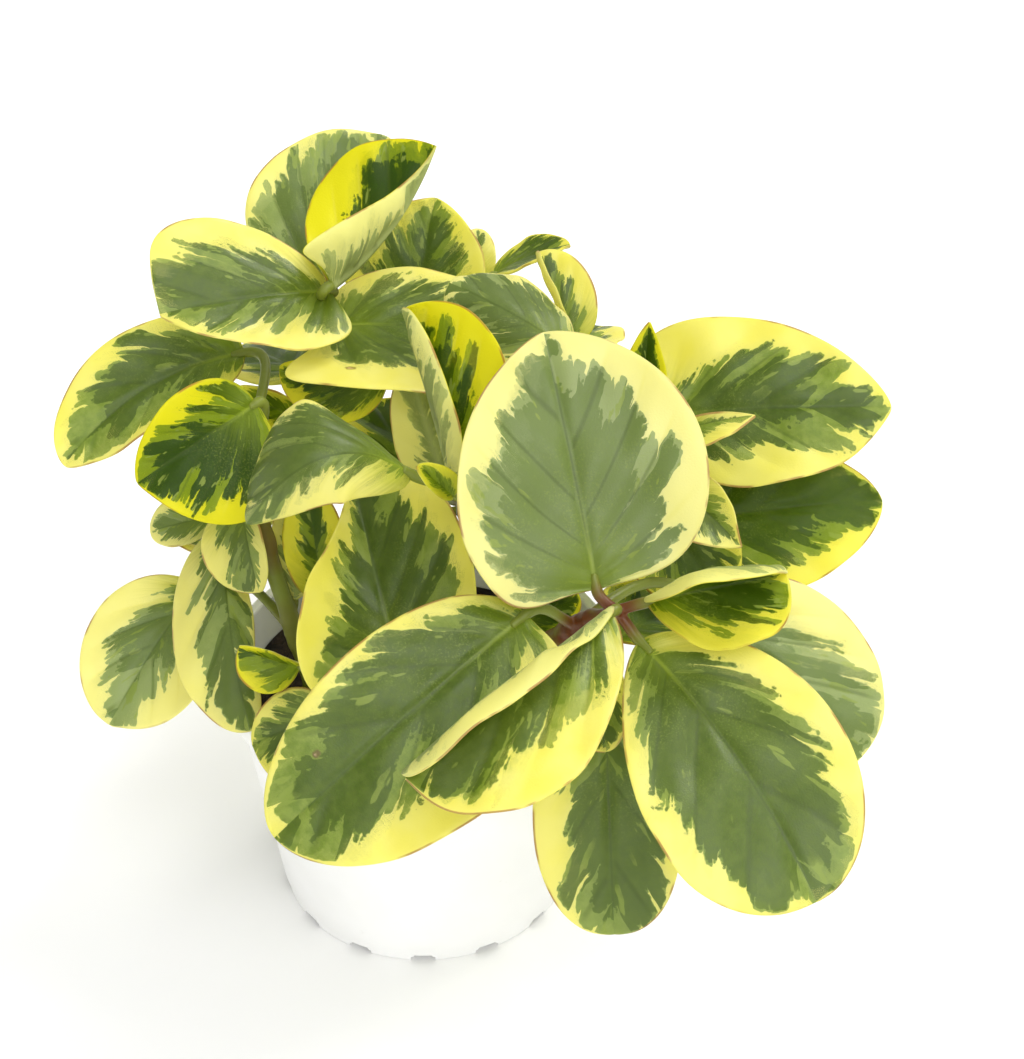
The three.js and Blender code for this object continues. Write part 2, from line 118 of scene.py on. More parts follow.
SHOOTS = {
    "front": {
        "radius": 3.2,
        "stem": [(20, -22), (30, -32, 108), (44, -46, 135), (59, -63, 157)],
        "leaves": [
            leaf("centre", 1, (53, -57, 160), (38, -6, 214), (1, -6, 8),
                 half(36, 4, 14, 0.12, 0.45, 0.75), half(38, 4, 14, 0.06, 0.5, 0.62),
                 ((0.85, 0.85, 0.78, 0.6, 0.45), (0.75, 0.76, 0.66, 0.5, 0.3)), arch=0.03, age_and_light=-0.9),
            leaf("front_right", 0.97, (65, -68, 150), (111, -133, 112), (2, -7, 6),
                 half(29, 4, 12, 0, 0.68), half(33, 4, 12, 0, 0.72, 0.42),
                 ((0.25, 0.58, 0.62, 0.74, 0.92), (0.5, 0.8, 0.8, 0.7, 0.75)), arch=0.06, sway=-0.03,
                 age_and_light=-0.25),
            leaf("front_left", 0.76, (33, -62, 155), (-37, -108, 112), (-1, -7, 7),
                 half(34.5, 2, 8, 0.1), half(24, 2, 8),
                 ((0.5, 0.5, 0.5, 0.66, 0.92), (0.85, 0.8, 0.84, 0.88, 0.92)), arch=0.06, spot=(9, 70)),
            leaf("front_folded", 1, (57, -70, 162), (0, -118, 144), (1, -6, 7),
                 half(31, 8, 26, 0, 0.8, 0.5), half(19, 60, 85, 0, 0.7, 0.34),
                 ((0.75, 0.72, 0.5, 0.58, 0.85), (0.8, 0.5, 0.45, 0.5, 0.8)), age_and_light=0.1),
            leaf("front_hanging", 0.7, (56, -63, 128), (59, -100, 66), (-1, -9, 4),
                 half(21, 4, 10, 0, 0.5, 0.45), half(22, 4, 10, 0, 0.5, 0.45),
                 ((0.8, 0.9, 0.9, 0.8, 0.95), (0.8, 0.7, 0.55, 0.55, 0.9)), arch=0.04, age_and_light=-0.35),
            leaf("right_folded", 0.98, (67, -63, 160), (106, -60, 168), (1, -6, 7),
                 half(24, 60, 75, 0, 0.5, 0.5), half(22, 10, 30, 0, 0.7, 0.45),
                 ((0.5, 0.6, 0.75, 0.8, 0.8), (0.25, 0.5, 0.72, 0.66, 0.85)), age_and_light=0.6),
            leaf("right_low", 0.8, (85, -28, 134), (134, -56, 96), (3, -6, 6),
                 half(27, 4, 8, 0, 0.5, 0.5), half(24, 4, 8),
                 ((0.5, 0.5, 0.45, 0.7, 0.95), (0.9, 0.9, 0.9, 0.9, 0.95)), age_and_light=-0.9),
            leaf("front_small", 0.85, (51, -60, 140), (56, -81, 120), (0, -8, 5), half(9, 6, 20),
                 half(12, 6, 20), even(0.85), age_and_light=0.3),
            leaf("front_inner", 0.6, (60, -40, 128), (82, -4, 112), (1, -2, 8), half(16), half(15),
                 even(0.8), age_and_light=0.7),
        ],
    },
    "right": {
        "radius": 3.0,
        "stem": [(28, 4), (42, 4, 108), (60, 6, 138), (70, 4, 166)],
        "leaves": [
            leaf("right_high", 0.95, (74, 32, 160), (146, 22, 170), (1, -6, 8),
                 half(30, 3, 10, 0.12, 0.35, 0.72), half(27, 3, 10, 0, 0.55, 0.72),
                 ((0.3, 0.5, 0.62, 0.66, 0.85), (0.45, 0.6, 0.5, 0.5, 0.8)), age_and_light=0.25),
            leaf("right_mid", 0.7, (77, 10, 134), (145, 15, 140), (1, -6, 8),
                 half(23, 3, 10, 0, 0.5, 0.75), half(27, 3, 10, 0, 0.5, 0.65),
                 ((0.85, 0.9, 0.8, 0.7, 0.8), (0.7, 0.8, 0.72, 0.55, 0.6)), age_and_light=0.48),
            leaf("right_spear", 1, (68, 4, 170), (70, 18, 203), (-2, -8, 2),
                 half(8, 20, 20, 0, 0.6, 0.9), half(9, 20, 20, 0, 0.6, 0.9), even(0.85), age_and_light=0.9),
            leaf("right_thin", 1, (76, -3, 177), (101, -4, 184), (0, -4, 8), half(3, 10, 30, 0, 0.6, 1),
                 half(11, 10, 30, 0, 0.6, 1), even(0.35), age_and_light=0.1),
            leaf("right_young", 0.9, (78, -8, 162), (97, -26, 152), (1, -7, 7),
                 half(9, 25, 30, 0, 0.5, 1), half(14, 10, 20, 0, 0.5, 0.9), even(0.5), age_and_light=-0.2),
            leaf("right_shaded", 0.8, (73, 7, 144), (93, -16, 124), (2, -7, 6), half(16), half(20),
                 even(0.8), age_and_light=0.5),
            leaf("right_back", 0.55, (84, 18, 126), (124, 58, 108), (2, 3, 8), half(23), half(23),
                 even(0.66)),
            leaf("right_back_low", 0.4, (60, 26, 110), (74, 82, 94), (1, 3, 8), half(21), half(21),
                 even(0.72)),
        ],
    },
    "back": {
        "radius": 3.0,
        "stem": [(10, 18), (16, 38, 116), (26, 50, 150), (38, 44, 178)],
        "leaves": [
            leaf("top_middle", 0.8, (-4, 83, 164), (4, 102, 200), (-1, -7, 6),
                 half(26, 4, 16, 0, 0.5, 0.75), half(23, 4, 16, 0, 0.5, 0.75),
                 ((0.5, 0.6, 0.55, 0.5, 0.6), (0.7, 0.75, 0.6, 0.45, 0.5)), age_and_light=0.4),
            leaf("behind_centre", 1, (47, 16, 194), (10, 39, 204), (1, -4, 9),
                 half(18, -25, -16, 0, 0.5, 0.5), half(19, -15, -15, 0, 0.5, 0.32),
                 ((0.6, 0.55, 0.6, 0.75, 0.9), (0.9, 0.9, 0.9, 0.85, 0.75)), age_and_light=-0.5),
            leaf("back_upright", 0.97, (48, 42, 180), (37, 62, 202), (3, -6, 6), half(12, 50, 40),
                 half(12, 15, 20, 0, 0.5, 0.5), even(0.4), age_and_light=0.3),
            leaf("back_flat", 0.9, (23, 86, 180), (48, 88, 190), (0, 2, 9), half(14, 4, 10),
                 half(18, 4, 10, 0, 0.5, 0.7), even(0.8), age_and_light=0.5),
            leaf("back_tiny", 0.85, (15, 103, 164), (18, 114, 182), (0, -7, 6), half(7), half(7),
                 even(0.15), age_and_light=-0.5),
            leaf("rear_right", 0.75, (34, 66, 152), (52, 124, 138), (1, 4, 8), half(24), half(24),
                 even(0.68)),
            leaf("rear_middle", 0.6, (4, 68, 146), (-16, 126, 124), (-1, 4, 8), half(22), half(23),
                 even(0.74)),
            leaf("rear_low", 0.35, (2, 46, 114), (-20, 106, 118), (0, 3, 8), half(22), half(22),
                 even(0.7)),
        ],
    },
    "upper": {
        "radius": 3.0,
        "stem": [(-12, 14), (-20, 30, 120), (-28, 45, 160), (-31, 51, 194)],
        "leaves": [
            leaf("upper_left", 1, (-27, 45, 198), (-77, 24, 202), (0, -5, 8),
                 half(21, 4, 12, 0.07, 0.3, 0.7), half(28, 4, 12, 0, 0.66, 0.26),
                 ((0.75, 0.55, 0.5, 0.65, 0.8), (0.4, 0.6, 0.66, 0.62, 0.6)), age_and_light=-0.15),
            leaf("upper_back", 0.9, (-37, 73, 184), (-12, 118, 214), (-2, -7, 6),
                 half(31, 3, 8, 0, 0.42, 0.6), half(12, 3, 8),
                 ((0.75, 0.8, 0.8, 0.85, 0.9), (0.8, 0.8, 0.8, 0.8, 0.8)), age_and_light=-0.5),
            leaf("upper_folded", 1, (-26, 35, 206), (5, 80, 230), (-3, -4, 6),
                 half(28, 8, 14, 0, 0.62, 0.45), half(19, 62, 60, 0.12, 0.25, 1.4),
                 ((0.1, 0.4, 0.55, 0.62, 0.7), (0.5, 0.55, 0.55, 0.5, 0.3)), arch=-0.1, age_and_light=1.0),
            leaf("middle_wide", 0.87, (-26, 48, 184), (32, 45, 178), (0, -1, 9),
                 half(25, 4, 10, 0.15, 0.42, 0.5), half(40, 4, 10, 0.26, 0.3, 0.5),
                 ((0.7, 0.7, 0.75, 0.8, 0.8), (0.62, 0.6, 0.58, 0.55, 0.6)), spot=(28, 14), age_and_light=0.0),
            leaf("rear_left", 0.68, (-38, 62, 156), (-66, 112, 136), (-3, 3, 8), half(24), half(22),
                 even(0.66), age_and_light=0.3),
            leaf("rear_left_low", 0.5, (-42, 50, 136), (-84, 74, 116), (-3, 2, 8), half(21), half(22),
                 even(0.7), age_and_light=0.3),
            leaf("middle_shaded", 0.75, (-10, 40, 169), (-44, 40, 173), (0, -9, 2), half(15), half(6),
                 ((0.6, 0.7, 0.75, 0.6, 0.3), (0.7, 0.7, 0.7, 0.6, 0.3)), age_and_light=0.8),
        ],
    },
    "middle": {
        "radius": 3.0,
        "stem": [(6, -2), (12, -6, 110), (16, -10, 145), (14, -19, 170)],
        "leaves": [
            leaf("middle_folded", 1, (12, -14, 168), (-3, 14, 210), (2, -7, 6),
                 half(13, 60, 90, 0, 0.5, 0.6), half(25, 20, 30, 0, 0.5, 0.45),
                 ((0.5, 0.5, 0.5, 0.6, 0.7), (0.6, 0.62, 0.55, 0.5, 0.4)), age_and_light=1.0),
            leaf("middle_arched", 0.97, (0, -23, 176), (-47, -39, 170), (0, -4, 9),
                 half(14, -40, -10, 0, 0.5, 0.6), half(25, -5, -20, 0, 0.6, 0.4),
                 ((0.2, 0.3, 0.45, 0.55, 0.75), (0.8, 0.85, 0.85, 0.9, 0.92)), arch=0.46, age_and_light=-0.3),
            leaf("middle_young", 1, (12, -31, 174), (2, -33, 186), (-2, -7, 6), half(4, 40, 30),
                 half(6, 10, 20), even(0.6), age_and_light=0.7),
            leaf("middle_underside", 0.8, (9, 2, 152), (-2, 32, 178), (-2, 8, 3), half(12), half(12),
                 even(0.3), age_and_light=0.6),
            leaf("middle_low", 0.4, (24, -22, 120), (50, -19, 127), (0, -6, 7), half(11), half(9),
                 even(0.85), age_and_light=0.9),
        ],
    },
    "left": {
        "radius": 3.0,
        "stem": [(-36, -1), (-42, 2, 105), (-49, 8, 135), (-50, 14, 165)],
        "leaves": [
            leaf("left_dark", 1, (-48, 9, 180), (-83, -10, 164), (-2, -8, 3),
                 half(29, 6, 14, 0, 0.5, 0.7), half(16, 6, 14, 0, 0.5, 0.75),
                 ((0.8, 0.7, 0.7, 0.62, 0.75), (0.5, 0.6, 0.65, 0.75, 0.92)), age_and_light=1.0),
            leaf("left_hanging", 0.62, (-63, 21, 126), (-51, -42, 94), (-3, -8, 3),
                 half(9, -60, -20, 0, 0.5, 0.5), half(21, 0, 10),
                 ((0.3, 0.4, 0.45, 0.5, 0.7), (0.6, 0.5, 0.42, 0.5, 0.8)), age_and_light=-0.5),
            leaf("left_small", 0.8, (-55, 9, 144), (-49, -9, 122), (-3, -8, 4), half(6), half(15),
                 ((0.6, 0.6, 0.6, 0.6, 0.8), (0.6, 0.6, 0.55, 0.55, 0.75)), age_and_light=-0.3),
            leaf("left_low", 0.25, (-74, 29, 96), (-101, -9, 68), (-2, -6, 8), half(24), half(23),
                 ((0.4, 0.4, 0.32, 0.35, 0.6), (0.4, 0.4, 0.5, 0.36, 0.5)), age_and_light=-0.8),
            leaf("left_pale", 0.6, (-68, 40, 116), (-90, 39, 110), (-1, -6, 8), half(8), half(9),
                 even(0.6), age_and_light=-0.8),
            leaf("left_pointed", 0.9, (-40, 44, 152), (-60, 45, 160), (0, -5, 8), half(11, 10, 20),
                 half(10, 50, 60), even(0.55), age_and_light=0.6),
            leaf("far_left", 0.97, (-56, 51, 172), (-112, 25, 146), (-1, -6, 8),
                 half(15, 2, 10, 0, 0.5, 0.62), half(20, 2, 10, 0, 0.5, 0.62),
                 ((0.9, 0.8, 0.72, 0.75, 0.85), (0.85, 0.85, 0.8, 0.66, 0.7)), sway=0.09, age_and_light=0.15),
            leaf("left_rear", 0.2, (-54, 30, 112), (-80, 68, 92), (-3, 2, 8), half(20), half(21),
                 even(0.7)),
            leaf("left_upright", 0.3, (-40, 6, 108), (-42, 15, 140), (0, 8, 3), half(9), half(6),
                 even(0.4), age_and_light=0.5),
        ],
    },
    "low": {
        "radius": 2.6,
        "stem": [(-14, -26), (-15, -36, 92), (-12, -44, 106), (-8, -49, 117)],
        "leaves": [
            leaf("middle_cupped", 1, (-5, -43, 122), (-20, 7, 158), (0, -8, 5),
                 half(33, 15, 45, 0.1, 0.36, 1.7), half(31, 8, 20, 0.15, 0.42, 0.6),
                 ((0.9, 0.55, 0.5, 0.5, 0.5), (0.9, 0.8, 0.72, 0.66, 0.6)), age_and_light=0.3),
            leaf("low_left", 0.8, (-25, -46, 106), (-50, -46, 92), (-1, -7, 6), half(19),
                 half(11, 4, 12, 0, 0.5, 0.7), even(0.78), age_and_light=0.3),
            leaf("low_young", 0.6, (-35, -38, 116), (-53, -36, 122), (0, -8, 5),
                 half(11, 10, 20, 0, 0.5, 0.5), half(4, 50, 20), even(0.74), age_and_light=0.8),
            leaf("low_upright", 0.5, (-30, 0, 112), (-35, 15, 144), (0, -8, 4), half(10), half(10),
                 even(0.5), age_and_light=0.7),
        ],
    },
}

# ---- node materials ------------------------------------------------------------------------


def linear(code):
    """A colour written as six hex digits, turned into linear light."""
    parts = [int(code[i:i + 2], 16) / 255 for i in (0, 2, 4)]
    return [p / 12.92 if p <= 0.04045 else ((p + 0.055) / 1.055) ** 2.4 for p in parts] + [1.0]


# The colours for older leaves are paler and greyer, partly their own dusty tint and partly painted
# sheen; those for younger leaves are deeper and clearer, partly their own colour and partly painted
# shade.
CREAM = linear("f8f28a")
CREAM_WARM = linear("f5ee76")
CREAM_OLD_SHEENED = linear("f8f4a4")
CREAM_YOUNG_SHADED = linear("e4de1a")
MIDDLE_DARK = linear("7f9334")
MIDDLE_LIGHT = linear("9bab4a")
MIDDLE_OLD_SHEENED = linear("a9b674")
MIDDLE_YOUNG_SHADED = linear("8a9c10")
DEEP_DARK = linear("566b18")
DEEP_LIGHT = linear("667a22")
DEEP_OLD_SHEENED = linear("83964c")
DEEP_YOUNG_SHADED = linear("364f02")
FOOT = linear("84991a")
RIB_PALE = linear("a9bc38")
# The next two colours draw the sunk midrib and side veins darker: painted shade in their grooves.
GROOVE_SHADE_GREEN = linear("4a5c12")
GROOVE_SHADE_CREAM = linear("e6e070")
UNDER_CREAM = linear("eeee96")
UNDER_GREEN = linear("a5b363")
UNDER_DEEP = linear("82914c")
UNDER_RIB = linear("ccd685")
THROUGH_CREAM = linear("fff850")
THROUGH_MIDDLE = linear("9ab41a")
THROUGH_DEEP = linear("6c8c08")
EDGE = linear("a5673f")
BLEMISH_RING = linear("7c6a3a")
BLEMISH = linear("d9b48e")


class Tree:
    """Small helper that writes a material's nodes as nested calls."""

    def __init__(self, name):
        self.material = bpy.data.materials.new(name)
        self.material.use_nodes = True
        self.nodes = self.material.node_tree.nodes
        self.links = self.material.node_tree.links
        self.nodes.clear()

    def put(self, kind, values=None, **settings):
        node = self.nodes.new(kind)
        for key, value in settings.items():
            setattr(node, key, value)
        for key, value in (values or {}).items():
            self.feed(node.inputs[key], value)
        return node

    def feed(self, socket, value):
        if isinstance(value, bpy.types.NodeSocket):
            self.links.new(value, socket)
        else:
            socket.default_value = value

    def math(self, operation, first, second=0.0, third=0.0):
        node = self.put("ShaderNodeMath", operation=operation)
        for socket, value in zip(node.inputs, (first, second, third)):
            self.feed(socket, value)
        return node.outputs[0]

    def chain(self, operation, terms):
        total = terms[0]
        for term in terms[1:]:
            total = self.math(operation, total, term)
        return total

    def add(self, *terms):
        return self.chain("ADD", terms)

    def times(self, *terms):
        return self.chain("MULTIPLY", terms)

    def ramp(self, value, low, high, to_low=0.0, to_high=1.0):
        ends = {"Value": value, "From Min": low, "From Max": high, "To Min": to_low,
                "To Max": to_high}
        node = self.put("ShaderNodeMapRange", ends, interpolation_type="SMOOTHSTEP")
        return node.outputs["Result"]

    def mix(self, factor, first, second):
        ends = {0: factor, 6: first, 7: second}
        return self.put("ShaderNodeMix", ends, data_type="RGBA", clamp_factor=True).outputs[2]

    def vector(self, x, y, z):
        return self.put("ShaderNodeCombineXYZ", {"X": x, "Y": y, "Z": z}).outputs[0]

    def noise(self, vector, scale=1.0, detail=2.0, rough=0.5):
        node = self.put("ShaderNodeTexNoise", {"Vector": vector, "Scale": scale,
                                               "Detail": detail, "Roughness": rough})
        return node.outputs[0]

    def attribute(self, name):
        node = self.put("ShaderNodeAttribute", attribute_name=name)
        return self.put("ShaderNodeSeparateXYZ", {"Vector": node.outputs["Vector"]}).outputs

    def position(self):
        return self.put("ShaderNodeTexCoord").outputs["Object"]

    def bump(self, height, distance, strength=1.0):
        return self.put("ShaderNodeBump", {"Height": height, "Distance": distance,
                                           "Strength": strength}).outputs[0]

    def skin(self, colour, roughness, normal=None, **more):
        values = {"Base Color": colour, "Roughness": roughness}
        if normal is not None:
            values["Normal"] = normal
        return self.put("ShaderNodeBsdfPrincipled", {**values, **more}).outputs[0]

    def let_through(self, share, skin, colour, values=None):
        """The skin, with a share of the light let through in its own colour."""
        glow = self.put("ShaderNodeBsdfTranslucent", {"Color": colour, **(values or {})})
        return self.put("ShaderNodeMixShader", {0: share, 1: skin,
                                                2: glow.outputs[0]}).outputs[0]

    def finish(self, shader):
        self.put("ShaderNodeOutputMaterial", {"Surface": shader})
        return self.material


def leaf_material(name, sheen):
    """Green centre that runs out along the veins in blunt tongues, with a lighter green between
    them, a cream margin, a thin red edge, and light let through."""
    t = Tree(name)
    at = t.attribute("leaf_at")        # across in mm, along in mm, a number of the leaf's own
    edge = t.attribute("leaf_edge")    # inside the green by, from the margin, under side
    more = t.attribute("leaf_more")    # part of the length, from a blemish, count of main veins
    fan = t.attribute("leaf_fan")      # which vein, how far out along it, the leaf's age tint with its painted sheen and shade
    across, along, own = at[0], at[1], at[2]
    inside, margin, under = edge[0], edge[1], edge[2]
    part, spot, count = more[0], more[1], more[2]
    which, far, age_and_light = fan[0], fan[1], fan[2]
    root = t.math("SQRT", t.add(t.times(across, across), t.times(along, along)))
    out = t.math("ABSOLUTE", across)
    side = t.math("MULTIPLY_ADD", t.math("SIGN", across), 7.3, own)
    vein = t.times(t.ramp(t.math("PINGPONG", count, 0.5), 0.075, 0.01), t.ramp(out, 0.4, 2.0),
                   t.ramp(margin, 1.0, 9.0), t.ramp(root, 8.0, 18.0))

    def along_veins(fine, coarse, seed, detail=1.5):
        place = t.vector(t.times(which, fine), t.times(far, coarse), t.add(side, seed))
        return t.noise(place, detail=detail)

    def off(value, amount):
        return t.times(t.add(value, -0.5), amount)

    # Tongues: each takes a stretch of neighbouring veins and ends at its own distance.
    wander = t.add(which, off(along_veins(0.7, 0.1, 11.0), 1.0))

    def tongues(width, seed, round_off):
        place = t.math("MULTIPLY_ADD", wander, 1.0 / width, seed)
        cell = t.math("FLOOR", place)
        within = t.add(t.times(t.math("FRACT", place), 2.0), -1.0)
        blunt = t.times(within, within, within, within, -round_off)
        white = t.put("ShaderNodeTexWhiteNoise", {"Vector": t.vector(cell, side, seed)})
        return white.outputs["Value"], blunt

    broad_end, broad_blunt = tongues(1.5, 3.7, 3.0)
    small_end, small_blunt = tongues(0.62, 8.1, 1.4)
    lighter_end, lighter_blunt = tongues(1.3, 5.3, 2.0)
    surface = t.vector(across, along, own)
    lumpy = t.noise(surface, scale=0.11, detail=1.0)
    crenate = t.noise(surface, scale=0.42, detail=1.0)
    ragged = t.noise(surface, scale=1.1, detail=3.0)
    mottle = t.noise(surface, scale=0.33, detail=4.0, rough=0.6)
    cloud = t.noise(t.vector(across, along, t.add(own, 3.0)), scale=0.09, detail=2.0)
    speckle = t.noise(surface, scale=1.5, detail=5.0, rough=0.7)

    reach = t.add(inside, off(broad_end, 8.0), broad_blunt, off(small_end, 2.0), small_blunt,
                  off(lumpy, 8.0), off(crenate, 4.0), off(ragged, 0.8), 1.6)
    kept = t.add(t.times(margin, 1.4), off(lumpy, 7.0), off(crenate, 2.5), -1.9)
    reach = t.math("MINIMUM", reach, kept)
    green = t.ramp(reach, -0.2, 0.2)
    lighter = t.add(t.times(t.ramp(lighter_end, 0.42, 0.95), 10.0), t.times(lighter_blunt, -0.6))
    deep_reach = t.add(reach, -0.4, t.times(lighter, -1.0), off(mottle, 8.0), off(ragged, 1.6))
    deep = t.ramp(deep_reach, -0.5, 0.5)
    # Pale islands drawn out along the veins, and speckles mostly in the lower half.
    streak = along_veins(1.3, 0.1, 57.0, detail=2.0)
    island = t.times(t.ramp(streak, 0.61, 0.64), t.ramp(reach, 15.0, 8.0))
    freckled = t.times(t.ramp(cloud, 0.4, 0.54), t.ramp(part, 0.75, 0.3))
    dots = t.times(t.ramp(speckle, 0.5, 0.66), freckled, 0.5)

    # Base colours on the upper side, seen by reflected light.
    pale = t.mix(t.ramp(cloud, 0.35, 0.7), CREAM, CREAM_WARM)
    # Older leaves get paler, greyer colours, partly their own dusty tint and partly painted sheen;
    # younger ones get deeper, clearer colours, partly their own colour and partly painted shade.
    young = t.ramp(age_and_light, 0.0, 1.0)
    old = t.ramp(age_and_light, 0.0, -1.0)
    pale = t.mix(young, t.mix(old, pale, CREAM_OLD_SHEENED), CREAM_YOUNG_SHADED)
    middling = t.mix(t.ramp(mottle, 0.35, 0.65), MIDDLE_DARK, MIDDLE_LIGHT)
    middling = t.mix(young, t.mix(old, middling, MIDDLE_OLD_SHEENED), MIDDLE_YOUNG_SHADED)
    dark = t.mix(t.ramp(mottle, 0.3, 0.7), DEEP_DARK, DEEP_LIGHT)
    dark = t.mix(young, t.mix(t.times(old, 0.9), dark, DEEP_OLD_SHEENED), DEEP_YOUNG_SHADED)
    upper = t.mix(green, pale, middling)
    upper = t.mix(deep, upper, dark)
    upper = t.mix(t.times(dots, green), upper, MIDDLE_LIGHT)
    upper = t.mix(t.times(island, green, 0.8), upper, MIDDLE_LIGHT)
    # The fleshy foot of the blade and its midrib are a clear yellow-green.
    fibre = along_veins(5.0, 0.05, 77.0)
    foot = t.ramp(t.add(root, off(fibre, 14.0)), 21.0, 2.0)
    upper = t.mix(t.times(foot, 0.75), upper, FOOT)
    rib_pale = t.times(t.ramp(out, 1.0, 0.1), t.ramp(part, 0.42, 0.05))
    upper = t.mix(t.times(rib_pale, 0.7), upper, RIB_PALE)
    # The sunk midrib and side veins are drawn darker on green and cream alike: painted shade in the
    # grooves.
    midrib_groove_shade = t.times(t.ramp(out, 0.5, 0.1), t.ramp(part, 0.1, 0.25), t.ramp(part, 1.0, 0.8))
    upper = t.mix(t.times(midrib_groove_shade, 0.45), upper, GROOVE_SHADE_GREEN)
    upper = t.mix(t.times(vein, green, 0.45), upper, GROOVE_SHADE_GREEN)
    upper = t.mix(t.times(vein, t.add(1.0, t.times(green, -1.0)), 0.2), upper, GROOVE_SHADE_CREAM)

    # The under side is paler, with a soft grey-green centre.
    below = t.mix(t.times(green, 0.8), UNDER_CREAM, UNDER_GREEN)
    below = t.mix(t.times(deep, 0.5), below, UNDER_DEEP)
    below = t.mix(t.times(t.ramp(out, 2.0, 0.2), 0.6), below, UNDER_RIB)
    colour = t.mix(under, upper, below)

    # Light that comes through is strongly yellow and green. Its speckles fade out in the
    # leaves tinted youngest, a tint that is partly painted shade.
    dots = t.times(dots, t.ramp(age_and_light, 1.0, 0.6))
    through = t.mix(green, THROUGH_CREAM, THROUGH_MIDDLE)
    through = t.mix(deep, through, THROUGH_DEEP)
    through = t.mix(t.times(dots, green), through, THROUGH_MIDDLE)
    through = t.mix(t.times(island, green, 0.8), through, THROUGH_MIDDLE)

    # The thin red-brown edge, broken along the margin.
    worn = t.noise(t.vector(t.times(along, 0.09), side, 1.0), detail=2.0)
    rim = t.times(t.ramp(margin, 0.4, 0.05), t.ramp(worn, 0.46, 0.6))
    colour = t.mix(t.times(rim, 0.75), colour, EDGE)
    through = t.mix(t.times(rim, 0.6), through, EDGE)
    # A small dry blemish with a dark ring.
    colour = t.mix(t.ramp(spot, 1.5, 1.0), colour, BLEMISH_RING)
    colour = t.mix(t.ramp(spot, 0.9, 0.6), colour, BLEMISH)

    grain = t.noise(surface, scale=1.6, detail=4.0, rough=0.6)
    normal = t.bump(grain, 0.00015, 0.5)
    roughness = t.add(t.ramp(mottle, 0.3, 0.7, 0.36, 0.48), t.times(under, 0.14))
    skin = t.skin(colour, roughness, normal, **{"IOR": 1.6, "Specular IOR Level": sheen})
    return t.finish(t.let_through(0.4, skin, through, {"Normal": normal}))


def stem_material():
    """Fleshy yellow-green stem, red-brown round the nodes, with fine darker flecks."""
    t = Tree("stem")
    node_red = t.attribute("stem_at")[0]
    place = t.position()
    cloud = t.noise(place, scale=90.0, detail=3.0)
    fine = t.noise(place, scale=600.0, detail=3.0)
    colour = t.mix(cloud, linear("6e7a22"), linear("8c983c"))
    colour = t.mix(t.ramp(fine, 0.6, 0.85, 0.0, 0.5), colour, linear("5f6a20"))
    red = t.times(node_red, t.ramp(cloud, 0.2, 0.5))
    colour = t.mix(t.times(red, 0.9), colour, linear("6a200c"))
    normal = t.bump(fine, 0.0003, 0.6)
    through = t.mix(red, linear("d8dc50"), linear("a0523a"))
    return t.finish(t.let_through(0.2, t.skin(colour, 0.42, normal), through))


def soil_material():
    t = Tree("soil")
    place = t.position()
    lumps = t.noise(place, scale=220.0, detail=5.0, rough=0.65)
    colour = t.mix(t.ramp(lumps, 0.35, 0.7), linear("15100c"), linear("3d2f24"))
    flecks = t.noise(place, scale=700.0, detail=2.0)
    colour = t.mix(t.ramp(flecks, 0.68, 0.74), colour, linear("6d5a45"))
    normal = t.bump(lumps, 0.0015, 0.9)
    return t.finish(t.skin(colour, 0.95, normal))


def pot_material():
    """Off-white moulded plastic: faint orange-peel and faint scuffs."""
    t = Tree("pot")
    place = t.position()
    cloud = t.noise(place, scale=25.0, detail=3.0)
    peel = t.noise(place, scale=900.0, detail=2.0)
    scuff = t.noise(place, scale=160.0, detail=4.0, rough=0.7)
    colour = t.mix(t.ramp(cloud, 0.3, 0.7), linear("fafaf8"), linear("f4f4f1"))
    colour = t.mix(t.ramp(scuff, 0.66, 0.78, 0.0, 0.35), colour, linear("d8d6cf"))
    normal = t.bump(peel, 0.0001, 0.35)
    roughness = t.ramp(scuff, 0.3, 0.7, 0.38, 0.52)
    return t.finish(t.skin(colour, roughness, normal))


# ---- meshes --------------------------------------------------------------------------------


def add_object(name, data):
    made = bpy.data.objects.new(name, data)
    bpy.context.scene.collection.objects.link(made)
    return made


def add_attribute(mesh, key, values):
    layer = mesh.attributes.new(key, "FLOAT_VECTOR", "POINT")
    layer.data.foreach_set("vector", np.asarray(values, dtype=np.float32).ravel())


def put_mesh(name, points, faces, material, replaced, attributes=None):
    """A smooth mesh piece from points in mm, riding on the one body."""
    mesh = bpy.data.meshes.new(name)
    mesh.from_pydata((np.asarray(points, dtype=float) * MM).tolist(), [], faces)
    mesh.validate()
    for key, values in (attributes or {}).items():
        add_attribute(mesh, key, values)
    mesh.polygons.foreach_set("use_smooth", [True] * len(mesh.polygons))
    mesh.materials.append(material)
    piece = add_object(name, mesh)
    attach(piece, "root")
    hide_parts(replaced)
    return piece


def unit(vectors):
    return vectors / np.linalg.norm(vectors, axis=-1, keepdims=True)


def strips(rows, around, first=0):
    """Faces between neighbouring rings of points."""
    faces = []
    for low in range(first, first + (rows - 1) * around, around):
        for j in range(around):
            k = (j + 1) % around
            faces.append((low + j, low + k, low + around + k, low + around + j))
    return faces


def pick(blade, key, v):
    """A value of the half of the blade that each point lies in."""
    return np.where(v >= 0, blade["right"][key], blade["left"][key])


def outline(blade, s, v):
    """How wide each half is at s, from 0 at the ends to 1 at its widest."""
    base, tip = pick(blade, "base", v), pick(blade, "tip", v)
    widest = base / (base + tip)
    s = np.clip(s, 1e-6, 1 - 1e-6)
    return s ** base * (1 - s) ** tip / (widest ** base * (1 - widest) ** tip)


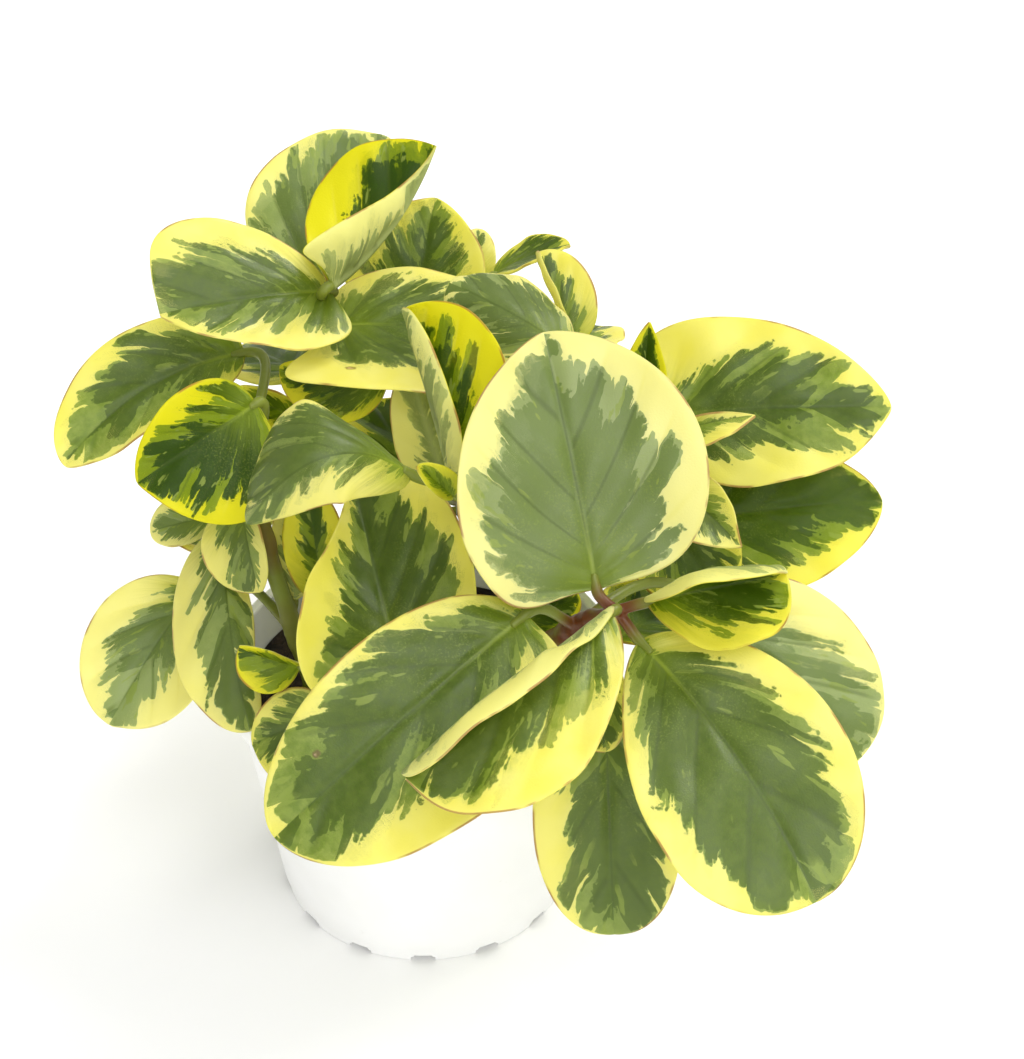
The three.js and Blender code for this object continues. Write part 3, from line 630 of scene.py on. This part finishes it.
def blade_frame(blade):
    root = np.array(blade["base"], dtype=float)
    along = np.array(blade["tip"], dtype=float) - root
    length = float(np.linalg.norm(along))
    along = along / length
    up = np.array(blade["face"], dtype=float)
    up = unit(up - along * up.dot(along))
    return {"root": root, "along": along, "up": up, "across": np.cross(along, up),
            "length": length}


def midrib_point(blade, f, s):
    s = np.asarray(s, dtype=float)[..., None]
    bow = 4 * f["length"] * s * (1 - s)
    return (f["root"] + f["along"] * f["length"] * s + f["up"] * bow * blade["arch"]
            + f["across"] * bow * blade["sway"])


def midrib_direction(blade, f, s):
    slope = 4 * (1 - 2 * np.asarray(s, dtype=float)[..., None])
    return unit(f["along"] + f["up"] * slope * blade["arch"]
                + f["across"] * slope * blade["sway"])


def lobe_back(blade, s, v):
    """How far the margin reaches back round the foot of the leaf, as part of its length."""
    return LOBE_SIZE * pick(blade, "lobe", v) * outline(blade, s, v) ** 2 * (1 - s) ** 4 * v * v


def broadest(blade):
    return max(blade["left"]["reach"], blade["right"]["reach"])


def half_reach(blade, s, v):
    """How wide the half blade is at s, in mm."""
    return pick(blade, "reach", v) * outline(blade, s, v)


def blade_point(blade, f, s, v):
    """The blade's middle surface, as in the CAD, for arrays s and v."""
    wide = outline(blade, s, v)
    forward = midrib_direction(blade, f, s)
    lift = unit(f["up"] - forward * (forward @ f["up"])[..., None])
    across = np.cross(forward, lift)
    fold, curl, t = pick(blade, "fold", v), pick(blade, "curl", v), np.abs(v)
    reach = pick(blade, "reach", v) * wide / curl
    out = np.sign(v) * reach * (np.sin(fold + curl * t) - np.sin(fold))
    rise = reach * (np.cos(fold) - np.cos(fold + curl * t))
    back = lobe_back(blade, s, v)
    return (midrib_point(blade, f, s - back) + across * out[..., None]
            + lift * rise[..., None])


def blade_normal(blade, f, s, v):
    step = 0.01
    s = np.clip(s, 2 * step, 1 - 2 * step)
    v = np.clip(v, step - 1, 1 - step)
    along = blade_point(blade, f, s + step, v) - blade_point(blade, f, s - step, v)
    across = blade_point(blade, f, s, v + step) - blade_point(blade, f, s, v - step)
    # This spans the midrib, so the normal there lies between those of the two halves.
    return unit(np.cross(across, along))


def vein_fan(length, across, along):
    """The side veins fan out: square to the midrib at the leaf base, steeper towards the tip.
    Gives for each point the number of its vein, counted evenly round the fan, how far out along
    the vein it lies, and how fast that number changes per mm."""
    scale = FAN_LENGTH / length
    out = np.abs(across) * scale
    out = out * (1 + 0.01 * out)
    along = along * scale
    half_sum = along - FAN_ROOT - FAN_SLOPE * out
    start = 0.5 * (half_sum + np.sqrt(np.maximum(half_sum ** 2 + 4 * along * FAN_ROOT, 0)))
    start = np.maximum(start, -3.0)
    number = FAN_COUNT * np.log(1 + start / 4)
    slope = FAN_SLOPE * start / (start + FAN_ROOT)
    spread = 1 + out * FAN_SLOPE * FAN_ROOT / (start + FAN_ROOT) ** 2
    change = FAN_COUNT / (4 + start) * np.hypot(1, slope) / spread * scale
    return number, np.hypot(out, along - start), change


def relief(blade, f, s, v, fan, chance):
    """Height in mm of the upper face over its plain form: a sunk midrib, sunk side veins with
    the flesh swelling between them, and slow waves that grow towards the margin."""
    right = v >= 0
    wide = half_reach(blade, s, v)
    x = np.abs(v) * wide
    t = np.abs(v)
    number, _, change = fan
    turn = np.where(right, chance.uniform(0, VEIN_STEP), chance.uniform(0, VEIN_STEP))
    phase = (number + turn) / VEIN_STEP
    phase = phase - np.floor(phase)
    spacing = np.minimum(VEIN_STEP / change, 12.0)
    gap = np.minimum(phase, 1 - phase) * spacing
    fade = np.clip(x / 3, 0, 1) * np.clip((1 - t) * 2.5, 0, 1)
    vein = np.exp(-(gap / 0.8) ** 2) * fade * np.clip(spacing / 4, 0, 1)
    swell = np.sin(math.pi * phase) ** 2 * fade
    size = min(1.0, f["length"] / 60)
    height = -0.6 * size * np.exp(-(x / 1.4) ** 2) * np.clip((1 - s) * 3, 0.25, 1)
    height = height - 0.3 * size * vein + 0.055 * size * spacing * swell
    for _ in range(7):
        heading, stretch = chance.uniform(0, math.pi), chance.uniform(13.0, 36.0)
        place = v * wide * math.cos(heading) + s * f["length"] * math.sin(heading)
        height = height + 0.009 * stretch * size * np.clip(x / 5, 0, 1) \
            * np.sin(place * 6.3 / stretch + chance.uniform(0, 6.3))
    for waves, amount in ((1.2, 0.8), (2.3, 0.45), (4.1, 0.2)):
        start = np.where(right, chance.uniform(0, 6.3), chance.uniform(0, 6.3))
        height = height + amount * size * t ** 2 * np.sin(2 * math.pi * waves * s + start) \
            * np.clip(wide / 8, 0, 1)
    return height, (number + turn) / VEIN_STEP


def green_reach(blade, f, s, v):
    """How far inside the green centre a point is, in mm of even leaf size."""
    left_widths, right_widths = blade["green"]
    width = np.where(v >= 0, np.interp(s, GREEN_AT, right_widths),
                     np.interp(s, GREEN_AT, left_widths))
    wide = half_reach(blade, s, v)
    scale = min(1.0, broadest(blade) / 22)
    inside = (width - np.abs(v)) * wide
    ends = np.minimum((1.0 - s) * f["length"] - 1.0, s * f["length"] + 6.0)
    return np.minimum(inside, ends) / scale


def add_blade(shoot, blade, number, material):
    f = blade_frame(blade)
    chance = random.Random(number)
    rows, columns = LARGE_GRID if f["length"] > LARGE_LEAF else SMALL_GRID
    s_rows = (1 - np.cos(np.pi * np.arange(1, rows) / rows)) / 2
    v_side = np.linspace(-1, 1, 2 * columns + 1)
    s, v = np.meshgrid(s_rows, v_side, indexing="ij")
    middle = blade_point(blade, f, s, v)
    normal = blade_normal(blade, f, s, v)
    normal = normal * np.sign((normal @ f["up"]).mean() or 1.0)
    wide = half_reach(blade, s, v)
    across = v * wide
    along = (s - lobe_back(blade, s, v)) * f["length"]
    fan = vein_fan(f["length"], across, along)
    # Each leaf's age tint, which also carries painted sheen and painted shade.
    age_and_light = np.full_like(s, blade["age_and_light"])
    height, count = relief(blade, f, s, v, fan, chance)
    centre = middle + normal * height[..., None]
    margin = (1 - np.abs(v)) * wide
    thick = BLADE_THICKNESS * 0.5 * (0.45 + 0.55 * np.clip(margin / 2.5, 0, 1) ** 0.5)
    rib = 0.75 * np.exp(-(across / 1.1) ** 2) * np.clip(1.15 - s, 0, 1)
    top = centre + normal * thick[..., None]
    bottom = centre - normal * (thick + rib)[..., None]
    edge_left = centre[:, 0] + unit(middle[:, 0] - middle[:, 1]) * EDGE_ROUNDING
    edge_right = centre[:, -1] + unit(middle[:, -1] - middle[:, -2]) * EDGE_ROUNDING
    inside = green_reach(blade, f, s, v)
    own = np.full_like(s, number * 13.7)
    clean = np.full_like(s, NO_BLEMISH)
    blemish = clean
    if blade["spot"]:
        blemish = np.hypot(across - blade["spot"][0], s * f["length"] - blade["spot"][1])

    def rings(upper, lower=None, rim_left=None, rim_right=None):
        """Values round each row: upper face, right rim, lower face backwards, left rim."""
        lower = upper if lower is None else lower
        rim_left = upper[:, 0] if rim_left is None else rim_left
        rim_right = upper[:, -1] if rim_right is None else rim_right
        return np.concatenate([upper, rim_right[:, None], lower[:, ::-1], rim_left[:, None]],
                              axis=1)

    nothing = np.zeros(rows - 1)
    loops = rings(top, bottom, edge_left, edge_right)
    grids = {"leaf_at": (rings(across), rings(along), rings(own)),
             "leaf_edge": (rings(inside), rings(margin, None, nothing, nothing),
                           rings(np.zeros_like(s), np.ones_like(s))),
             "leaf_more": (rings(s), rings(blemish, clean, clean[:, 0], clean[:, 0]),
                           rings(count)),
             "leaf_fan": (rings(fan[0]), rings(fan[1]), rings(age_and_light))}
    grids = {key: np.stack(columns_of, axis=-1) for key, columns_of in grids.items()}

    around = loops.shape[1]
    points = loops.reshape(-1, 3)
    attributes = {key: values.reshape(-1, 3) for key, values in grids.items()}
    ends = []
    for s_end, row in ((0.0, 0), (1.0, rows - 2)):
        ends.append(midrib_point(blade, f, s_end) + normal[row, columns] * height[row, columns])
        for key in attributes:
            attributes[key] = np.vstack([attributes[key], grids[key][row][columns]])
    points = np.vstack([points, ends])
    first, last = len(points) - 2, len(points) - 1
    faces = strips(rows - 1, around)
    final = (rows - 2) * around
    for j in range(around):
        k = (j + 1) % around
        faces.append((first, k, j))
        faces.append((last, final + j, final + k))
    piece = put_mesh("leaf_" + blade["name"], points, faces, material,
                     "shoot_" + shoot, attributes)
    face_outward(piece)
    return piece


def face_outward(piece):
    mesh = piece.data
    build = bmesh.new()
    build.from_mesh(mesh)
    if build.calc_volume(signed=True) < 0:
        bmesh.ops.reverse_faces(build, faces=build.faces)
    build.to_mesh(mesh)
    build.free()


# ---- stems ---------------------------------------------------------------------------------


def smooth_curve(points, count):
    """Points along the same kind of spline as the CAD's stems."""
    points = [np.array(p, dtype=float) for p in points]
    padded = [2 * points[0] - points[1]] + points + [2 * points[-1] - points[-2]]
    result = []
    for k in range(count + 1):
        place = k / count * (len(points) - 1)
        i = min(int(place), len(points) - 2)
        u = place - i
        p0, p1, p2, p3 = padded[i:i + 4]
        m1, m2 = (p2 - p0) / 2, (p3 - p1) / 2
        result.append(p1 * (2 * u ** 3 - 3 * u ** 2 + 1) + m1 * (u ** 3 - 2 * u ** 2 + u)
                      + p2 * (3 * u ** 2 - 2 * u ** 3) + m2 * (u ** 3 - u ** 2))
    return np.array(result)


def bezier(points, count):
    u = np.linspace(0, 1, count + 1)[:, None]
    a, b, c, d = points
    return (a * (1 - u) ** 3 + 3 * b * u * (1 - u) ** 2 + 3 * c * u * u * (1 - u) + d * u ** 3)


def add_tube(path, radii, sides, points, faces):
    """Adds a closed round tube to a list of points and a list of faces."""
    forward = unit(np.gradient(path, axis=0))
    side = unit(np.cross(forward[0], (0.3, 1.0, 0.2)))
    angles = (np.arange(sides) * 2 * math.pi / sides)[:, None]
    first = len(points)
    for place, way, radius in zip(path, forward, radii):
        side = unit(side - way * side.dot(way))
        other = np.cross(way, side)
        points.extend(place + radius * (np.cos(angles) * side + np.sin(angles) * other))
    last = len(points) - sides
    faces.extend(strips(len(path), sides, first))
    faces.append(tuple(reversed(range(first, first + sides))))
    faces.append(tuple(range(last, last + sides)))


def add_stem(name, shoot, material):
    """The stem with its swollen nodes and its leaf stalks, remeshed into one fleshy piece."""
    x, y = shoot["stem"][0]
    low = SOIL_TOP - HOLE_DEPTH + 0.6
    rise = [(x, y, SOIL_TOP + SOIL_CROWN + 2)] + shoot["stem"][1:]
    curve = smooth_curve(rise, 60)
    radius = shoot["radius"] - STEM_PLAY
    nodes = [curve[int(round(min(b["at"], 0.985) * 60))] for b in shoot["leaves"]]

    def swollen(place):
        near = min(np.linalg.norm(place - node) for node in nodes)
        return radius * (1 + 0.2 * math.exp(-(near / 2.6) ** 2))

    points, faces = [], []
    foot = np.array([(x, y, low + (rise[0][2] - low) * k / 6) for k in range(6)])
    whole = np.vstack([foot, curve])
    radii = [radius] * len(foot) + [swollen(p) for p in curve]
    radii[-9:] = np.multiply(radii[-9:], np.linspace(0.95, 0.42, 9)).tolist()
    add_tube(whole, radii, STEM_SIDES, points, faces)
    for blade, start in zip(shoot["leaves"], nodes):
        f = blade_frame(blade)
        base = f["root"]
        span = np.linalg.norm(base - start)
        outward = (base - start) * (1, 1, 0)
        outward = unit(unit(outward) + (0, 0, 0.6))
        entry = midrib_direction(blade, f, 0.0)
        stalk = bezier((start, start + outward * 0.35 * span, base - entry * 0.35 * span, base),
                       20)
        inner = midrib_point(blade, f, np.array([0.02, 0.04, 0.06]))
        path = np.vstack([stalk, inner - f["up"] * 0.3])
        reach = min(1.0, broadest(blade) / 20)
        thick = max(0.75, STALK_RADIUS * reach ** 0.5)
        wide = np.interp(np.linspace(0, 1, len(path)), (0, 0.12, 0.3, 0.85, 1),
                         (1.12, 1.02, 0.92, 1.0, 0.7))
        add_tube(path, wide * thick, STALK_SIDES, points, faces)
    piece = put_mesh("stem_" + name, points, faces, material, "shoot_" + name)
    face_outward(piece)
    remesh = piece.modifiers.new("remesh", "REMESH")
    remesh.mode = "VOXEL"
    remesh.voxel_size = STEM_VOXEL * MM
    smooth = piece.modifiers.new("smooth", "SMOOTH")
    smooth.factor = 0.5
    smooth.iterations = 4
    apply_modifiers(piece)
    mesh = piece.data
    places = np.empty(len(mesh.vertices) * 3, dtype=np.float32)
    mesh.vertices.foreach_get("co", places)
    places = places.reshape(-1, 3) / MM
    near = np.min([np.linalg.norm(places - node, axis=1) for node in nodes], axis=0)
    strong = 1.0 if name == "front" else 0.6
    red = strong * np.exp(-(near / 9.0) ** 4) * (0.35 + 0.65 * (places[:, 2] > 120))
    add_attribute(mesh, "stem_at", np.repeat(red, 3))
    mesh.polygons.foreach_set("use_smooth", [True] * len(mesh.polygons))
    return piece


def apply_modifiers(piece):
    graph = bpy.context.evaluated_depsgraph_get()
    finished = bpy.data.meshes.new_from_object(piece.evaluated_get(graph))
    piece.modifiers.clear()
    piece.data = finished


# ---- pot and soil --------------------------------------------------------------------------


def wall_radius(z):
    return POT_BASE_RADIUS + (POT_RIM_RADIUS - POT_BASE_RADIUS) * z / POT_HEIGHT


def turned(profile, sides):
    """Points and faces of a closed lathe profile of (radius, height), axis ends included."""
    points, faces, rings = [], [], []
    for radius, height in profile:
        if radius < 1e-6:
            rings.append([len(points)])
            points.append((0, 0, height))
            continue
        rings.append([len(points) + k for k in range(sides)])
        for k in range(sides):
            angle = 2 * math.pi * k / sides
            points.append((radius * math.cos(angle), radius * math.sin(angle), height))
    for low, high in zip(rings, rings[1:]):
        for k in range(sides):
            n = (k + 1) % sides
            if len(low) == 1:
                faces.append((low[0], high[n], high[k]))
            elif len(high) == 1:
                faces.append((low[k], low[n], high[0]))
            else:
                faces.append((low[k], low[n], high[n], high[k]))
    return points, faces


def arc(radius, height, size, start, end, count):
    """Points of a small rounding, with its angles in degrees."""
    found = []
    for k in range(count + 1):
        angle = math.radians(start + (end - start) * k / count)
        found.append((radius + size * math.cos(angle), height + size * math.sin(angle)))
    return found


def add_pot(material):
    lip = POT_RIM_RADIUS + LIP_OUT
    lip_foot = POT_HEIGHT - LIP_HEIGHT
    profile = [(0, 0), (POT_BASE_RADIUS - 1.2, 0)]
    profile += arc(POT_BASE_RADIUS - 1.2, 1.2, 1.2, -90, 0, 5)
    # Shallow moulded steps ring the wall just above the slots and below the lip.
    profile += [(wall_radius(6), 6), (wall_radius(6.8) + 0.25, 6.8)]
    for z in np.linspace(12, lip_foot - 3, 12):
        profile.append((wall_radius(z) + 0.2, z))
    profile += [(wall_radius(lip_foot) + 0.1, lip_foot - 0.4)]
    profile += arc(lip - 1.1, lip_foot + 1.4, 1.1, -80, 0, 6)
    profile += arc(lip - 1.6, POT_HEIGHT - 1.6, 1.6, 0, 90, 8)
    inner = POT_RIM_RADIUS - POT_WALL
    profile += arc(inner + 1.2, POT_HEIGHT - 1.2, 1.2, 90, 180, 6)
    for z in np.linspace(POT_HEIGHT - 4, POT_FLOOR + 2, 10):
        profile.append((wall_radius(z) - POT_WALL, z))
    profile += arc(wall_radius(POT_FLOOR) - POT_WALL - 1.6, POT_FLOOR + 1.6, 1.6, 0, -90, 4)
    profile.append((0, POT_FLOOR))
    points, faces = turned(profile, POT_SIDES)
    pot = put_mesh("pot_body", points, faces, material, "pot")
    face_outward(pot)

    cutter = bmesh.new()
    for i in range(SLOT_COUNT):
        angle = 2 * math.pi * i / SLOT_COUNT - math.pi / 2
        made = bmesh.ops.create_cube(cutter, size=1.0)
        corner = made["verts"]
        bmesh.ops.scale(cutter, verts=corner, vec=(SLOT_DEPTH, SLOT_WIDTH, 2 * SLOT_HEIGHT))
        edges = [e for e in {e for v in corner for e in v.link_edges}
                 if abs(e.verts[0].co.x - e.verts[1].co.x) > 1]
        bent = bmesh.ops.bevel(cutter, geom=edges, offset=1.0, segments=3, affect="EDGES")
        verts = list({v for face in bent["faces"] for v in face.verts}
                     | {v for v in corner if v.is_valid})
        c, s = math.cos(angle), math.sin(angle)
        for v in verts:
            px, py = v.co.x + POT_BASE_RADIUS, v.co.y
            v.co.x, v.co.y = c * px - s * py, s * px + c * py
    bmesh.ops.scale(cutter, verts=cutter.verts, vec=(MM, MM, MM))
    mesh = bpy.data.meshes.new("slots")
    cutter.to_mesh(mesh)
    cutter.free()
    slots = add_object("slots", mesh)
    cut = pot.modifiers.new("slots", "BOOLEAN")
    cut.operation = "DIFFERENCE"
    cut.solver = "EXACT"
    cut.object = slots
    apply_modifiers(pot)
    bpy.data.objects.remove(slots)
    shade_by_angle(pot, 35)
    return pot


def shade_by_angle(piece, degrees):
    """Smooth shading that stays sharp where faces meet at more than an angle."""
    build = bmesh.new()
    build.from_mesh(piece.data)
    for face in build.faces:
        face.smooth = True
    for e in build.edges:
        e.smooth = len(e.link_faces) == 2 and e.calc_face_angle(0) < math.radians(degrees)
    build.to_mesh(piece.data)
    build.free()


def soil_rise(part):
    """How far the domed soil stands above its edge, at a part of the way out."""
    return SOIL_CROWN * (1 - part ** 2.2)


def add_soil(material):
    """A crumbly dome: a lathe whose top is broken up, with loose crumbs set into it."""
    rng = random.Random(41)

    def inner(z):
        return wall_radius(z) - POT_WALL - SOIL_GAP

    low = POT_FLOOR + SOIL_GAP
    profile = [(0, low), (inner(4) - 4, low), (inner(7), 7)]
    profile += [(inner(z), z) for z in (20, 40, 60, 70)]
    rim = inner(SOIL_TOP)
    for k in range(SOIL_RINGS + 1):
        part = 1 - k / SOIL_RINGS
        profile.append((rim * part * 0.995, SOIL_TOP - 0.3 + soil_rise(part)))
    points, faces = turned(profile, SOIL_SIDES)
    points = np.array(points, dtype=float)
    top = points[:, 2] > SOIL_TOP - 1
    away = np.hypot(points[:, 0], points[:, 1])
    rough = np.zeros(len(points))
    for scale, amount in ((0.35, 0.9), (0.9, 0.7), (1.9, 0.45)):
        turn = [rng.uniform(0, 6.3) for _ in range(4)]
        rough += amount * np.sin(points[:, 0] * scale + turn[0] + 2 * np.sin(
            points[:, 1] * scale * 0.7 + turn[1])) * np.sin(points[:, 1] * scale + turn[2]
                                                            + np.sin(points[:, 0] * scale))
    points[:, 2] += np.where(top & (away < rim - 0.5), rough - 0.9, 0)
    points[:, 2] = np.minimum(points[:, 2], SOIL_TOP + SOIL_CROWN)
    points = points.tolist()
    crumb = bmesh.new()
    bmesh.ops.create_icosphere(crumb, subdivisions=1, radius=1.0)
    shape = [tuple(v.co) for v in crumb.verts]
    shape_faces = [tuple(v.index for v in face.verts) for face in crumb.faces]
    crumb.free()
    for _ in range(CRUMB_COUNT):
        angle, away = rng.uniform(0, 2 * math.pi), rim * rng.uniform(0, 0.94) ** 0.5
        size = rng.uniform(0.5, 1.5)
        centre = (away * math.cos(angle), away * math.sin(angle),
                  SOIL_TOP - 1.6 + soil_rise(away / rim))
        start = len(points)
        squash = [size * rng.uniform(0.6, 1.2) for _ in range(3)]
        for corner in shape:
            wobble = rng.uniform(0.8, 1.15)
            points.append([c + q * w * wobble for c, q, w in zip(centre, corner, squash)])
        faces += [tuple(start + k for k in face) for face in shape_faces]
    return put_mesh("soil_bed", points, faces, material, "soil")


# ---- stage ---------------------------------------------------------------------------------


def add_sun(name, way, power, angle, colour):
    """A soft far light that comes from a direction."""
    data = bpy.data.lights.new(name, "SUN")
    data.energy = power
    data.angle = math.radians(angle)
    data.color = colour
    lamp = add_object(name, data)
    lamp.location = way
    lamp.rotation_euler = (math.atan2(math.hypot(way[0], way[1]), way[2]), 0,
                           math.atan2(way[1], way[0]) + math.pi / 2)


def add_stage():
    t = Tree("floor")
    skin = t.skin(linear("fbfbfa"), 0.9, **{"Specular IOR Level": 0.1})
    mesh = bpy.data.meshes.new("floor")
    reach = 4.0
    mesh.from_pydata([(-reach, -reach, 0), (reach, -reach, 0), (reach, reach, 0),
                      (-reach, reach, 0)], [], [(0, 1, 2, 3)])
    mesh.materials.append(t.finish(skin))
    floor = add_object("floor", mesh)

    world = bpy.data.worlds.new("studio")
    world.use_nodes = True
    back = world.node_tree.nodes["Background"]
    back.inputs["Color"].default_value = (1.0, 1.0, 1.0, 1.0)
    back.inputs["Strength"].default_value = 0.5
    bpy.context.scene.world = world
    add_sun("key", (0.5, 0.45, 0.74), 1.9, 30, (1.0, 0.985, 0.95))
    add_sun("front", (0.25, -0.5, 0.83), 1.7, 50, (0.99, 0.99, 1.0))
    add_sun("low", (-0.1, -0.95, 0.3), 0.75, 60, (1.0, 1.0, 1.0))

    data = bpy.data.cameras.new("camera")
    data.lens = 80
    data.sensor_width = 36
    data.sensor_fit = "AUTO"
    camera = add_object("camera", data)
    camera.location = (0.029, -0.587, 0.566)
    camera.rotation_euler = (math.radians(54), 0, 0)
    bpy.context.scene.camera = camera
    bpy.context.scene.view_settings.view_transform = "Standard"


# ---- the whole scene -----------------------------------------------------------------------

LEAF, YOUNG_LEAF = leaf_material("leaf", 0.45), leaf_material("young_leaf", 0.18)
STEM, SOIL, POT = stem_material(), soil_material(), pot_material()
number = 1
for shoot_name, shoot in SHOOTS.items():
    add_stem(shoot_name, shoot, STEM)
    for blade in shoot["leaves"]:
        add_blade(shoot_name, blade, number, YOUNG_LEAF if blade["age_and_light"] > 0.45 else LEAF)
        number += 1
add_pot(POT)
add_soil(SOIL)
add_stage()
